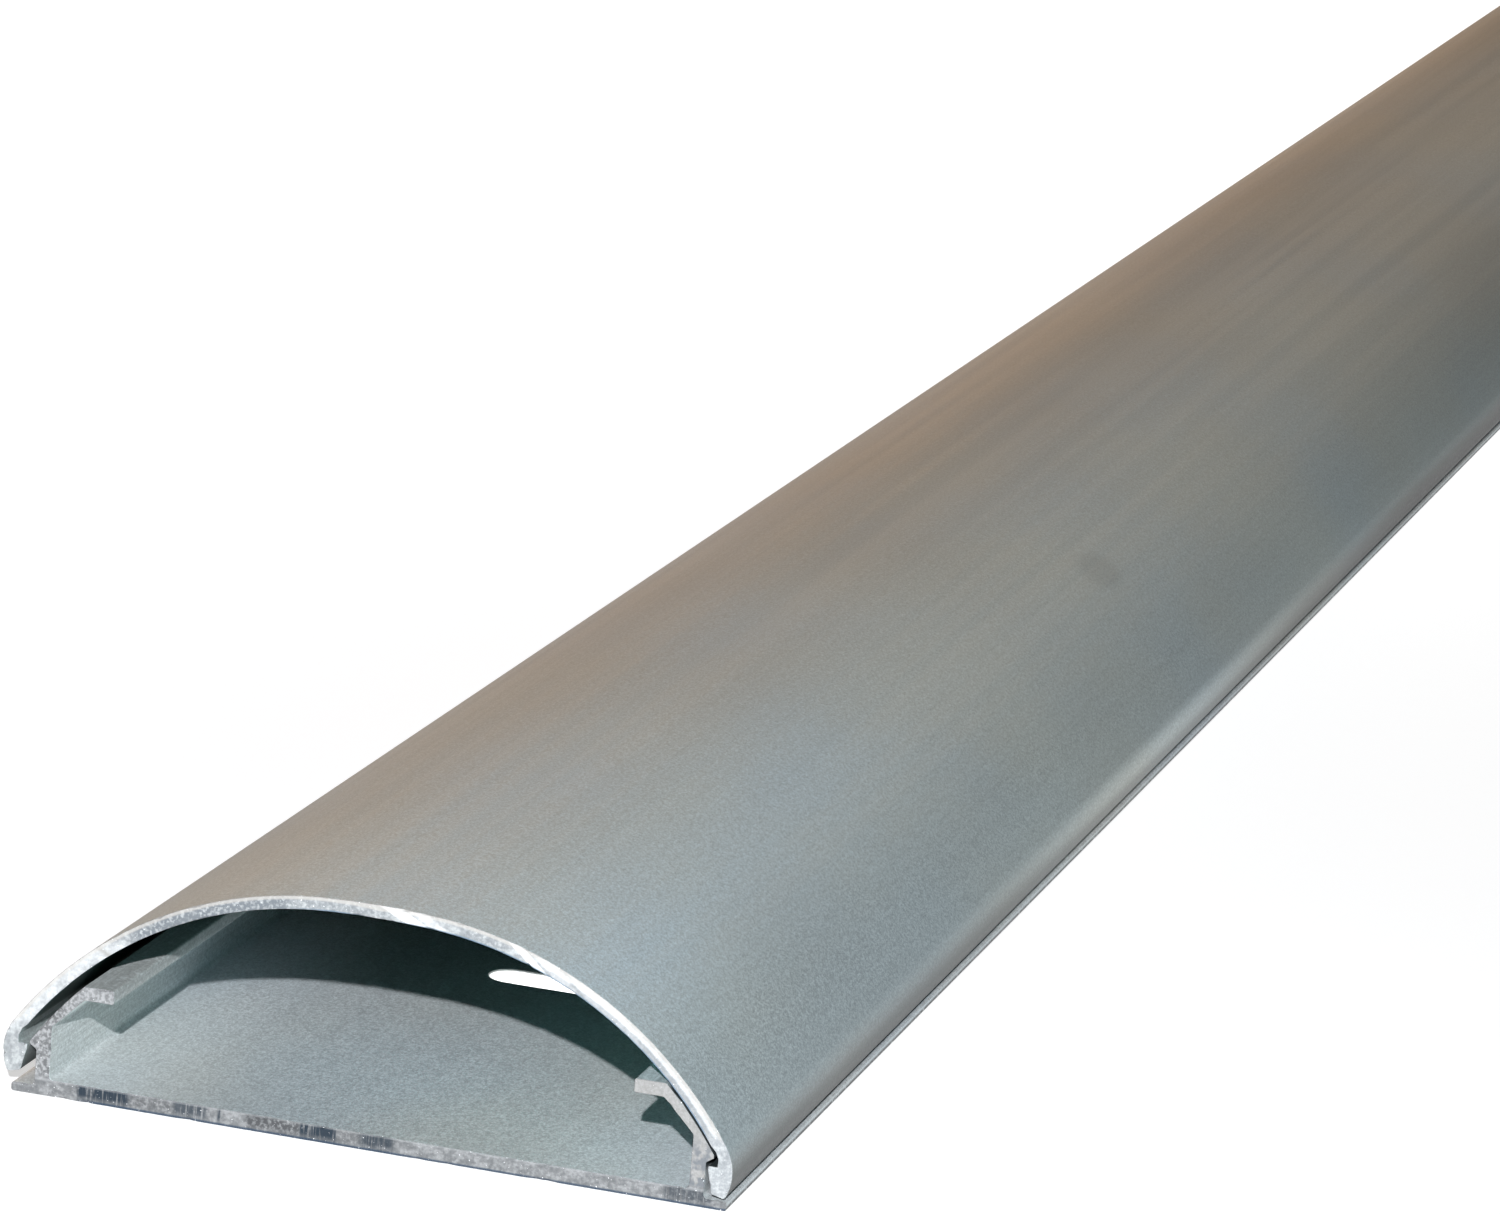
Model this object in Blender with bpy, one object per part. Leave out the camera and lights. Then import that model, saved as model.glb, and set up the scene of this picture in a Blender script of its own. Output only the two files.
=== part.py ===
# Aluminium cable raceway: a base rail that is screwed down and an arched cover that snaps over it.
# Both are straight extrusions, cut off square at both ends.
# X runs across the width, Y along the length and Z up. The origin is the middle of the underside.
import math

import bmesh
import bpy

MM = 0.001

# Length of the stock
LENGTH = 1000.0 * MM

# Base rail: plate, flanges and walls
BASE_HALF_WIDTH = 40.0 * MM
PLATE_THICKNESS = 1.8 * MM
FLANGE_THICKNESS = 1.0 * MM
FLANGE_EDGE_RADIUS = 0.3 * MM
WALL_INSIDE = 35.8 * MM
WALL_OUTSIDE = 37.4 * MM
WALL_BEND_HEIGHT = 7.75 * MM
FOOT_RADIUS = 0.5 * MM

# Base rail: lip that points inward at the top of each wall
LIP_TIP = 29.0 * MM
LIP_TOP = 12.75 * MM
LIP_UNDERSIDE = 11.25 * MM
LIP_BEND = 32.3 * MM
LIP_CORNER_RADIUS = 0.2 * MM

# Base rail: barb on the outside of each wall
BARB_TIP = 38.2 * MM
BARB_TIP_HEIGHT = 5.5 * MM
BARB_UNDERSIDE = 4.95 * MM
BARB_RADIUS = 0.1 * MM

# Cover: outer arcs from the crown down to the edge
CROWN_HEIGHT = 26.42 * MM
CROWN_RADIUS = 96.0 * MM
CROWN_END = math.radians(3.7)
SHOULDER_RADIUS = 43.96 * MM
SHOULDER_END = math.radians(56.0)
EDGE_RADIUS = 5.57 * MM
EDGE_END = math.radians(115.0)
TIP_RADIUS = 0.35 * MM
TIP_END = math.radians(194.0)

# Cover: thickness, foot, hook and the recess that the barb snaps into
COVER_THICKNESS = 1.45 * MM
INSIDE_ARC_END = math.radians(55.0)
FOOT_INSIDE = (38.7 * MM, 1.55 * MM)
FOOT_CORNER_RADIUS = 0.2 * MM
HOOK_TIP = 38.1 * MM
HOOK_FOOT = 4.05 * MM
HOOK_SHOULDER = 4.55 * MM
HOOK_RADIUS = 0.12 * MM
RECESS_OUTSIDE = 39.1 * MM
RECESS_BEND_HEIGHT = 5.4 * MM
RECESS_TOP = (38.75 * MM, 6.2 * MM)

# Seat of the cover: its +X edge is down, its -X edge stands a little open
COVER_SHIFT = -0.45 * MM
COVER_TILT = math.radians(0.6)
SEAT_CLEARANCE = 0.3 * MM

# Base rail: the leaning part of each wall runs parallel to the inside of the cover
WALL_CLEARANCE = 0.25 * MM
WALL_ARC_CENTRE_SHIFT = -0.3 * MM
WALL_ARC_START = math.radians(44.0)
WALL_ARC_END = math.radians(56.2)

# Screw slots across the plate
SLOT_LENGTH = 14.0 * MM
SLOT_WIDTH = 5.3 * MM
SLOT_COUNT = 4
SLOT_END_DISTANCE = 64.5 * MM
SLOT_CUT_DEPTH = 6.0 * MM

ARC_STEP = math.radians(3.0)
SMALL_ARC_STEP = math.radians(22.5)
WELD_DISTANCE = 0.000001
SMOOTH_ANGLE = math.radians(25.0)

ALUMINIUM = (0.56, 0.58, 0.57, 1.0)


def clear_scene():
    for obj in list(bpy.data.objects):
        bpy.data.objects.remove(obj, do_unlink=True)


def arc(centre, radius, start, end, step):
    """Points of an arc, with its angle measured from +Y toward +X."""
    steps = max(1, math.ceil(abs(end - start) / step))
    points = []
    for i in range(steps + 1):
        angle = start + (end - start) * i / steps
        points.append((centre[0] + radius * math.sin(angle), centre[1] + radius * math.cos(angle)))
    return points


def next_centre(centre, angle, radius, next_radius):
    """Centre of the arc that carries on tangent to the last one."""
    reach = radius - next_radius
    return (centre[0] + reach * math.sin(angle), centre[1] + reach * math.cos(angle))


def fillet(before, corner, after, radius):
    """Arc that rounds a corner between two straight runs."""
    to_before = (before[0] - corner[0], before[1] - corner[1])
    to_after = (after[0] - corner[0], after[1] - corner[1])
    len_before = math.hypot(*to_before)
    len_after = math.hypot(*to_after)
    u = (to_before[0] / len_before, to_before[1] / len_before)
    v = (to_after[0] / len_after, to_after[1] / len_after)
    opening = math.acos(max(-1.0, min(1.0, u[0] * v[0] + u[1] * v[1])))
    reach = radius / math.tan(opening / 2)
    middle = (u[0] + v[0], u[1] + v[1])
    middle_len = math.hypot(*middle)
    to_centre = radius / math.sin(opening / 2)
    centre = (
        corner[0] + middle[0] / middle_len * to_centre,
        corner[1] + middle[1] / middle_len * to_centre,
    )
    first = (corner[0] + u[0] * reach, corner[1] + u[1] * reach)
    last = (corner[0] + v[0] * reach, corner[1] + v[1] * reach)
    start = math.atan2(first[0] - centre[0], first[1] - centre[1])
    turn = math.atan2(last[0] - centre[0], last[1] - centre[1]) - start
    turn = (turn + math.pi) % (2 * math.pi) - math.pi
    return arc(centre, radius, start, start + turn, SMALL_ARC_STEP)


def rounded(corners):
    """Run of corners (x, y, radius) as points, each corner rounded by its radius."""
    points = []
    for i, (x, y, radius) in enumerate(corners):
        if radius == 0 or i == 0 or i == len(corners) - 1:
            points.append((x, y))
        else:
            points.extend(fillet(corners[i - 1][:2], (x, y), corners[i + 1][:2], radius))
    return points


def both_sides(half):
    """Closed outline from the half at +X. A point on the middle line is used once."""
    mirrored = [(-x, y) for x, y in reversed(half) if x > 0]
    return half + mirrored


def cover_centres():
    crown = (0.0, CROWN_HEIGHT - CROWN_RADIUS)
    shoulder = next_centre(crown, CROWN_END, CROWN_RADIUS, SHOULDER_RADIUS)
    edge = next_centre(shoulder, SHOULDER_END, SHOULDER_RADIUS, EDGE_RADIUS)
    tip = next_centre(edge, EDGE_END, EDGE_RADIUS, TIP_RADIUS)
    return crown, shoulder, edge, tip


def cover_outline():
    crown, shoulder, edge, tip = cover_centres()
    outside = arc(crown, CROWN_RADIUS, 0.0, CROWN_END, ARC_STEP)
    outside += arc(shoulder, SHOULDER_RADIUS, CROWN_END, SHOULDER_END, ARC_STEP)[1:]
    outside += arc(edge, EDGE_RADIUS, SHOULDER_END, EDGE_END, 3 * ARC_STEP)[1:]
    outside += arc(tip, TIP_RADIUS, EDGE_END, TIP_END, SMALL_ARC_STEP)[1:]
    crown_inside = CROWN_RADIUS - COVER_THICKNESS
    shoulder_inside = SHOULDER_RADIUS - COVER_THICKNESS
    inside = arc(shoulder, shoulder_inside, INSIDE_ARC_END, CROWN_END, ARC_STEP)
    hook = rounded([
        (*outside[-1], 0),
        (*FOOT_INSIDE, FOOT_CORNER_RADIUS),
        (HOOK_TIP, HOOK_FOOT, HOOK_RADIUS),
        (HOOK_TIP, HOOK_SHOULDER, HOOK_RADIUS),
        (RECESS_OUTSIDE, HOOK_SHOULDER, HOOK_RADIUS),
        (RECESS_OUTSIDE, RECESS_BEND_HEIGHT, HOOK_RADIUS),
        (*RECESS_TOP, HOOK_RADIUS),
        (*inside[0], 0),
    ])
    half = outside + hook[1:] + inside[1:]
    half += arc(crown, crown_inside, CROWN_END, 0.0, ARC_STEP)[1:]
    return both_sides(half)


def base_outline():
    shoulder = cover_centres()[1]
    centre = (shoulder[0] + WALL_ARC_CENTRE_SHIFT, shoulder[1])
    radius = SHOULDER_RADIUS - COVER_THICKNESS - WALL_CLEARANCE
    leaning = arc(centre, radius, WALL_ARC_END, WALL_ARC_START, ARC_STEP)
    lower = rounded([
        (0.0, 0.0, 0),
        (BASE_HALF_WIDTH, 0.0, FLANGE_EDGE_RADIUS),
        (BASE_HALF_WIDTH, FLANGE_THICKNESS, FLANGE_EDGE_RADIUS),
        (WALL_OUTSIDE, FLANGE_THICKNESS, FOOT_RADIUS),
        (WALL_OUTSIDE, BARB_UNDERSIDE, BARB_RADIUS),
        (BARB_TIP, BARB_TIP_HEIGHT, BARB_RADIUS),
        (*leaning[0], 0),
    ])
    upper = rounded([
        (*leaning[-1], 0),
        (LIP_TIP, LIP_TOP, LIP_CORNER_RADIUS),
        (LIP_TIP, LIP_UNDERSIDE, LIP_CORNER_RADIUS),
        (LIP_BEND, LIP_UNDERSIDE, FOOT_RADIUS),
        (WALL_INSIDE, WALL_BEND_HEIGHT, FOOT_RADIUS),
        (WALL_INSIDE, PLATE_THICKNESS, FOOT_RADIUS),
        (0.0, PLATE_THICKNESS, 0),
    ])
    return both_sides(lower[1:] + leaning[1:-1] + upper[:-1])


def slot_outline():
    radius = SLOT_WIDTH / 2
    reach = SLOT_LENGTH / 2 - radius
    right = arc((reach, 0.0), radius, 0.0, math.pi, SMALL_ARC_STEP / 2)
    left = arc((-reach, 0.0), radius, math.pi, 2 * math.pi, SMALL_ARC_STEP / 2)
    return right + left


def extrude(name, outline, thickness, location, rotation, collection):
    """Solid of a flat outline, as a welded mesh object."""
    curve = bpy.data.curves.new(name + "_outline", "CURVE")
    curve.dimensions = "2D"
    curve.fill_mode = "BOTH"
    curve.extrude = thickness / 2
    spline = curve.splines.new("POLY")
    spline.points.add(len(outline) - 1)
    for point, (x, y) in zip(spline.points, outline):
        point.co = (x, y, 0.0, 1.0)
    spline.use_cyclic_u = True
    drawn = bpy.data.objects.new(name + "_outline", curve)
    drawn.location = location
    drawn.rotation_euler = rotation
    collection.objects.link(drawn)
    bpy.context.view_layer.update()
    evaluated = drawn.evaluated_get(bpy.context.evaluated_depsgraph_get())
    mesh = bpy.data.meshes.new_from_object(evaluated)
    mesh.name = name
    solid = bmesh.new()
    solid.from_mesh(mesh)
    bmesh.ops.remove_doubles(solid, verts=solid.verts, dist=WELD_DISTANCE)
    bmesh.ops.recalc_face_normals(solid, faces=solid.faces)
    solid.to_mesh(mesh)
    solid.free()
    obj = bpy.data.objects.new(name, mesh)
    obj.matrix_world = drawn.matrix_world
    collection.objects.link(obj)
    bpy.data.objects.remove(drawn, do_unlink=True)
    return obj


def shade(obj):
    bpy.context.view_layer.objects.active = obj
    obj.data.shade_smooth()
    obj.data.set_sharp_from_angle(angle=SMOOTH_ANGLE)


def aluminium(name, roughness):
    material = bpy.data.materials.new(name)
    material.use_nodes = True
    shader = material.node_tree.nodes["Principled BSDF"]
    shader.inputs["Base Color"].default_value = ALUMINIUM
    shader.inputs["Metallic"].default_value = 1.0
    shader.inputs["Roughness"].default_value = roughness
    return material


def cover_place():
    """Location that sets the tilted cover's +X tip just above the flange."""
    tip = cover_centres()[3]
    turned_x = tip[0] * math.cos(COVER_TILT) + tip[1] * math.sin(COVER_TILT)
    turned_z = tip[1] * math.cos(COVER_TILT) - tip[0] * math.sin(COVER_TILT)
    seat_x = tip[0] + COVER_SHIFT
    seat_z = FLANGE_THICKNESS + SEAT_CLEARANCE + TIP_RADIUS
    return (seat_x - turned_x, 0.0, seat_z - turned_z)


def build():
    clear_scene()
    raceway = bpy.data.collections.new("cable_raceway")
    cutters = bpy.data.collections.new("cutters")
    bpy.context.scene.collection.children.link(raceway)
    bpy.context.scene.collection.children.link(cutters)

    upright = (math.pi / 2, 0.0, 0.0)
    base = extrude("base_rail", base_outline(), LENGTH, (0.0, 0.0, 0.0), upright, raceway)
    base.data.materials.append(aluminium("base_aluminium", 0.42))

    first = SLOT_END_DISTANCE - LENGTH / 2
    pitch = (LENGTH - 2 * SLOT_END_DISTANCE) / (SLOT_COUNT - 1)
    for i in range(SLOT_COUNT):
        place = (0.0, first + i * pitch, PLATE_THICKNESS / 2)
        cutter = extrude(f"slot_cutter_{i + 1}", slot_outline(), SLOT_CUT_DEPTH, place, (0.0, 0.0, 0.0), cutters)
        cutter.hide_render = True
        cutter.display_type = "WIRE"
        cut = base.modifiers.new(f"slot_{i + 1}", "BOOLEAN")
        cut.operation = "DIFFERENCE"
        cut.solver = "EXACT"
        cut.object = cutter
    shade(base)

    tilted = (math.pi / 2, COVER_TILT, 0.0)
    cover = extrude("snap_cover", cover_outline(), LENGTH, cover_place(), tilted, raceway)
    cover.data.materials.append(aluminium("cover_aluminium", 0.38))
    shade(cover)


build()
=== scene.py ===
import math
import random

import bmesh
import bpy
from mathutils import Matrix, Vector, noise


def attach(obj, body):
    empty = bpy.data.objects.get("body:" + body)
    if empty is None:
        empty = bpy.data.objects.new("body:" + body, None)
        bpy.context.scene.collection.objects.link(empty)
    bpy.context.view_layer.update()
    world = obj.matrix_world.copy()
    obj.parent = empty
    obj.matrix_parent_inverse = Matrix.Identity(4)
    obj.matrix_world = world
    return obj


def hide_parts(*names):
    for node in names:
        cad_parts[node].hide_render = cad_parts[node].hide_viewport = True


MM = 0.001

# Length of the stock
LENGTH = 1000.0
HALF_LENGTH = LENGTH / 2

# Base rail section, in millimetres
BASE_HALF_WIDTH = 40.0
PLATE_THICKNESS = 1.8
FLANGE_THICKNESS = 1.0
FLANGE_EDGE_RADIUS = 0.3
WALL_INSIDE = 35.8
WALL_OUTSIDE = 37.4
WALL_BEND_HEIGHT = 7.75
FOOT_RADIUS = 0.5
LIP_TIP = 29.0
LIP_TOP = 12.75
LIP_UNDERSIDE = 11.25
LIP_BEND = 32.3
LIP_CORNER_RADIUS = 0.2
BARB_TIP = 38.2
BARB_TIP_HEIGHT = 5.5
BARB_UNDERSIDE = 4.95
BARB_RADIUS = 0.1
WALL_CLEARANCE = 0.25
WALL_ARC_CENTRE_SHIFT = -0.3
WALL_ARC_START = math.radians(44.0)
WALL_ARC_END = math.radians(56.2)

# Cover section
CROWN_HEIGHT = 26.42
CROWN_RADIUS = 96.0
CROWN_END = math.radians(3.7)
SHOULDER_RADIUS = 43.96
SHOULDER_END = math.radians(56.0)
EDGE_RADIUS = 5.57
EDGE_END = math.radians(115.0)
TIP_RADIUS = 0.35
TIP_END = math.radians(194.0)
COVER_THICKNESS = 1.45
INSIDE_ARC_END = math.radians(55.0)
FOOT_INSIDE = (38.7, 1.55)
FOOT_CORNER_RADIUS = 0.2
HOOK_TIP = 38.1
HOOK_FOOT = 4.05
HOOK_SHOULDER = 4.55
HOOK_RADIUS = 0.12
RECESS_OUTSIDE = 39.1
RECESS_BEND_HEIGHT = 5.4
RECESS_TOP = (38.75, 6.2)
COVER_SHIFT = -0.45
COVER_TILT = math.radians(0.6)
SEAT_CLEARANCE = 0.3

# Screw slots
SLOT_LENGTH = 14.0
SLOT_WIDTH = 5.3
SLOT_COUNT = 4
SLOT_END_DISTANCE = 64.5
SLOT_CHAMFER = 0.15
SLOT_FLARE = 1.0
SLOT_END_POINTS = 24

# Fineness of the drawn outlines
OUTLINE_STEP = 0.3
CORNER_STEP = 0.12
SHORTEST_RUN = 0.00001
SHARP_ANGLE = math.radians(32.0)

# Rings along the stock, as distances from its middle, in millimetres
STATIONS = (100.0, 200.0, 300.0, 380.0, 440.0, 480.0, 496.0, 499.0)

# Wear of the saw-cut rims: usual width, chips on each rim, depth and half width of a chip
RIM_WIDTH = 0.05
RIM_CHIPS = 40
RIM_ROUGHNESS = 0.8
RIM_NOISE_SCALE = 1.3
CHIP_DEPTH = (0.08, 0.3)
CHIP_HALF_WIDTH = (1, 4)

# The wear stays small where the outline turns by more than this, so the rim can't fold
CORNER_TURN = 0.12
CORNER_WEAR = 0.04


def arc(centre, radius, start, end, step=OUTLINE_STEP):
    """Points of an arc, its angle measured from +Z toward +X."""
    count = max(3, math.ceil(abs(end - start) * radius / step))
    points = []
    for i in range(count + 1):
        angle = start + (end - start) * i / count
        points.append((centre[0] + radius * math.sin(angle), centre[1] + radius * math.cos(angle)))
    return points


def next_centre(centre, angle, radius, next_radius):
    """Centre of the arc that carries on smoothly from the arc before it."""
    reach = radius - next_radius
    return (centre[0] + reach * math.sin(angle), centre[1] + reach * math.cos(angle))


def fillet(before, corner, after, radius):
    """Points of the arc that rounds one corner of an outline."""
    to_before = Vector(before) - Vector(corner)
    to_after = Vector(after) - Vector(corner)
    u = to_before.normalized()
    v = to_after.normalized()
    opening = u.angle(v)
    reach = radius / math.tan(opening / 2)
    centre = Vector(corner) + (u + v).normalized() * (radius / math.sin(opening / 2))
    first = Vector(corner) + u * reach
    last = Vector(corner) + v * reach
    start = math.atan2(first.x - centre.x, first.y - centre.y)
    turn = math.atan2(last.x - centre.x, last.y - centre.y) - start
    turn = (turn + math.pi) % (2 * math.pi) - math.pi
    return arc(centre, radius, start, start + turn, CORNER_STEP)


def rounded(corners):
    """Outline through corners (x, z, radius), each rounded by its radius."""
    points = []
    for i, (x, z, radius) in enumerate(corners):
        if radius == 0 or i == 0 or i == len(corners) - 1:
            points.append((x, z))
        else:
            points.extend(fillet(corners[i - 1][:2], (x, z), corners[i + 1][:2], radius))
    return points


def both_sides(half):
    """Closed outline from its +X half, which starts and ends at X = 0."""
    mirrored = [(-x, z) for x, z in reversed(half) if x > 0]
    return half + mirrored


def filled_in(outline, step=OUTLINE_STEP):
    """The closed outline with long straight runs cut into short steps."""
    points = []
    for a, b in zip(outline, outline[1:] + outline[:1]):
        run = math.dist(a, b)
        if run < SHORTEST_RUN:
            continue
        count = max(1, round(run / step))
        for i in range(count):
            t = i / count
            points.append((a[0] + (b[0] - a[0]) * t, a[1] + (b[1] - a[1]) * t))
    return points


def cover_centres():
    """Centres of the cover's crown, shoulder, edge and tip arcs at +X, before it is seated."""
    crown = (0.0, CROWN_HEIGHT - CROWN_RADIUS)
    shoulder = next_centre(crown, CROWN_END, CROWN_RADIUS, SHOULDER_RADIUS)
    edge = next_centre(shoulder, SHOULDER_END, SHOULDER_RADIUS, EDGE_RADIUS)
    tip = next_centre(edge, EDGE_END, EDGE_RADIUS, TIP_RADIUS)
    return crown, shoulder, edge, tip


def seat():
    """Cosine and sine of the cover's tilt, and how far it moves along X and Z."""
    tip = cover_centres()[3]
    c = math.cos(COVER_TILT)
    s = math.sin(COVER_TILT)
    dx = tip[0] + COVER_SHIFT - (tip[0] * c + tip[1] * s)
    dz = FLANGE_THICKNESS + SEAT_CLEARANCE + TIP_RADIUS - (tip[1] * c - tip[0] * s)
    return c, s, dx, dz


def seated(points):
    """The cover's outline turned and moved to where it sits on the rail."""
    c, s, dx, dz = seat()
    return [(x * c + z * s + dx, z * c - x * s + dz) for x, z in points]


def cover_outline():
    crown, shoulder, edge, tip = cover_centres()
    outside = arc(crown, CROWN_RADIUS, 0.0, CROWN_END)
    outside += arc(shoulder, SHOULDER_RADIUS, CROWN_END, SHOULDER_END)[1:]
    outside += arc(edge, EDGE_RADIUS, SHOULDER_END, EDGE_END, CORNER_STEP)[1:]
    outside += arc(tip, TIP_RADIUS, EDGE_END, TIP_END, CORNER_STEP)[1:]
    crown_inside = CROWN_RADIUS - COVER_THICKNESS
    shoulder_inside = SHOULDER_RADIUS - COVER_THICKNESS
    inside = arc(shoulder, shoulder_inside, INSIDE_ARC_END, CROWN_END)
    hook = rounded([
        (*outside[-1], 0),
        (*FOOT_INSIDE, FOOT_CORNER_RADIUS),
        (HOOK_TIP, HOOK_FOOT, HOOK_RADIUS),
        (HOOK_TIP, HOOK_SHOULDER, HOOK_RADIUS),
        (RECESS_OUTSIDE, HOOK_SHOULDER, HOOK_RADIUS),
        (RECESS_OUTSIDE, RECESS_BEND_HEIGHT, HOOK_RADIUS),
        (*RECESS_TOP, HOOK_RADIUS),
        (*inside[0], 0),
    ])
    half = outside + hook[1:] + inside[1:]
    half += arc(crown, crown_inside, CROWN_END, 0.0)[1:]
    return seated(filled_in(both_sides(half)))


def base_outline():
    shoulder = cover_centres()[1]
    centre = (shoulder[0] + WALL_ARC_CENTRE_SHIFT, shoulder[1])
    radius = SHOULDER_RADIUS - COVER_THICKNESS - WALL_CLEARANCE
    leaning = arc(centre, radius, WALL_ARC_END, WALL_ARC_START)
    lower = rounded([
        (0.0, 0.0, 0),
        (BASE_HALF_WIDTH, 0.0, FLANGE_EDGE_RADIUS),
        (BASE_HALF_WIDTH, FLANGE_THICKNESS, FLANGE_EDGE_RADIUS),
        (WALL_OUTSIDE, FLANGE_THICKNESS, FOOT_RADIUS),
        (WALL_OUTSIDE, BARB_UNDERSIDE, BARB_RADIUS),
        (BARB_TIP, BARB_TIP_HEIGHT, BARB_RADIUS),
        (*leaning[0], 0),
    ])
    upper = rounded([
        (*leaning[-1], 0),
        (LIP_TIP, LIP_TOP, LIP_CORNER_RADIUS),
        (LIP_TIP, LIP_UNDERSIDE, LIP_CORNER_RADIUS),
        (LIP_BEND, LIP_UNDERSIDE, FOOT_RADIUS),
        (WALL_INSIDE, WALL_BEND_HEIGHT, FOOT_RADIUS),
        (WALL_INSIDE, PLATE_THICKNESS, FOOT_RADIUS),
        (0.0, PLATE_THICKNESS, 0),
    ])
    return filled_in(both_sides(lower + leaning[1:-1] + upper))


def inward(outline):
    """Unit vectors that point into the metal at each point of a closed outline."""
    area = 0.0
    for a, b in zip(outline, outline[1:] + outline[:1]):
        area += a[0] * b[1] - b[0] * a[1]
    side = 1.0 if area > 0 else -1.0
    normals = []
    count = len(outline)
    for i in range(count):
        a = outline[i - 1]
        b = outline[(i + 1) % count]
        along = Vector((b[0] - a[0], b[1] - a[1])).normalized()
        normals.append(Vector((-along.y, along.x)) * side)
    return normals


def rim_wear(outline, seed):
    """How far the saw rounded or chipped the rim at each point, in millimetres."""
    rng = random.Random(seed)
    count = len(outline)
    normals = inward(outline)
    wear = []
    for x, z in outline:
        place = Vector((x * RIM_NOISE_SCALE, z * RIM_NOISE_SCALE, seed * 7.1))
        wear.append(RIM_WIDTH * (1.0 + RIM_ROUGHNESS * noise.noise(place)))
    for _ in range(RIM_CHIPS):
        middle = rng.randrange(count)
        width = rng.randint(*CHIP_HALF_WIDTH)
        depth = rng.uniform(*CHIP_DEPTH)
        for k in range(-width, width + 1):
            fall = 1.0 - abs(k) / (width + 1)
            i = (middle + k) % count
            wear[i] = max(wear[i], depth * fall)
    for i in range(count):
        before = normals[i - 1].angle(normals[i])
        after = normals[i].angle(normals[(i + 1) % count])
        if max(before, after) > CORNER_TURN:
            wear[i] = min(wear[i], CORNER_WEAR)
    return wear


def stock(name, outline, seed, skin, cut):
    """Straight length of one section, with a worn saw-cut rim at both ends."""
    bm = bmesh.new()
    normals = inward(outline)
    rings = []
    near = rim_wear(outline, seed)
    far = rim_wear(outline, seed + 1)

    def ring(y_of, offset):
        verts = []
        for i, (x, z) in enumerate(outline):
            shift = normals[i] * offset[i]
            verts.append(bm.verts.new(((x + shift.x) * MM, y_of(i) * MM, (z + shift.y) * MM)))
        rings.append(verts)

    flat = [0.0] * len(outline)
    ring(lambda i: -HALF_LENGTH, near)
    ring(lambda i: -HALF_LENGTH + near[i], flat)
    for y in [-s for s in reversed(STATIONS)] + [0.0] + list(STATIONS):
        ring(lambda i, y=y: y, flat)
    ring(lambda i: HALF_LENGTH - far[i], flat)
    ring(lambda i: HALF_LENGTH, far)

    count = len(outline)
    for r in range(len(rings) - 1):
        for i in range(count):
            j = (i + 1) % count
            face = bm.faces.new((rings[r][i], rings[r][j], rings[r + 1][j], rings[r + 1][i]))
            on_skin = 0 < r < len(rings) - 2
            face.smooth = on_skin
            face.material_index = 0 if on_skin else 1
    for verts in (rings[0], rings[-1]):
        face = bm.faces.new(verts)
        face.material_index = 1
    bmesh.ops.recalc_face_normals(bm, faces=bm.faces)
    mesh = bpy.data.meshes.new(name)
    bm.to_mesh(mesh)
    bm.free()
    mesh.materials.append(skin)
    mesh.materials.append(cut)
    mesh.set_sharp_from_angle(angle=SHARP_ANGLE)
    obj = bpy.data.objects.new(name, mesh)
    bpy.context.scene.collection.objects.link(obj)
    return obj


def slot_cutter(name, y_middle):
    """Oblong cutter that flares a little at both faces of the plate."""
    levels = [
        (-SLOT_FLARE, SLOT_FLARE + SLOT_CHAMFER),
        (SLOT_CHAMFER, 0.0),
        (PLATE_THICKNESS - SLOT_CHAMFER, 0.0),
        (PLATE_THICKNESS + SLOT_FLARE, SLOT_FLARE + SLOT_CHAMFER),
    ]
    bm = bmesh.new()
    reach = (SLOT_LENGTH - SLOT_WIDTH) / 2
    rings = []
    for z, grow in levels:
        radius = SLOT_WIDTH / 2 + grow
        right = []
        for k in range(SLOT_END_POINTS):
            angle = math.pi * k / (SLOT_END_POINTS - 1)
            right.append((reach + radius * math.sin(angle), radius * math.cos(angle)))
        left = [(-x, -y) for x, y in right]
        outline = [(x * MM, (y + y_middle) * MM, z * MM) for x, y in right + left]
        rings.append([bm.verts.new(point) for point in outline])
    count = len(rings[0])
    for r in range(len(rings) - 1):
        for i in range(count):
            j = (i + 1) % count
            bm.faces.new((rings[r][i], rings[r][j], rings[r + 1][j], rings[r + 1][i]))
    bm.faces.new(rings[0])
    bm.faces.new(rings[-1])
    bmesh.ops.recalc_face_normals(bm, faces=bm.faces)
    mesh = bpy.data.meshes.new(name)
    bm.to_mesh(mesh)
    bm.free()
    obj = bpy.data.objects.new(name, mesh)
    bpy.context.scene.collection.objects.link(obj)
    obj.hide_render = True
    return obj


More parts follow.
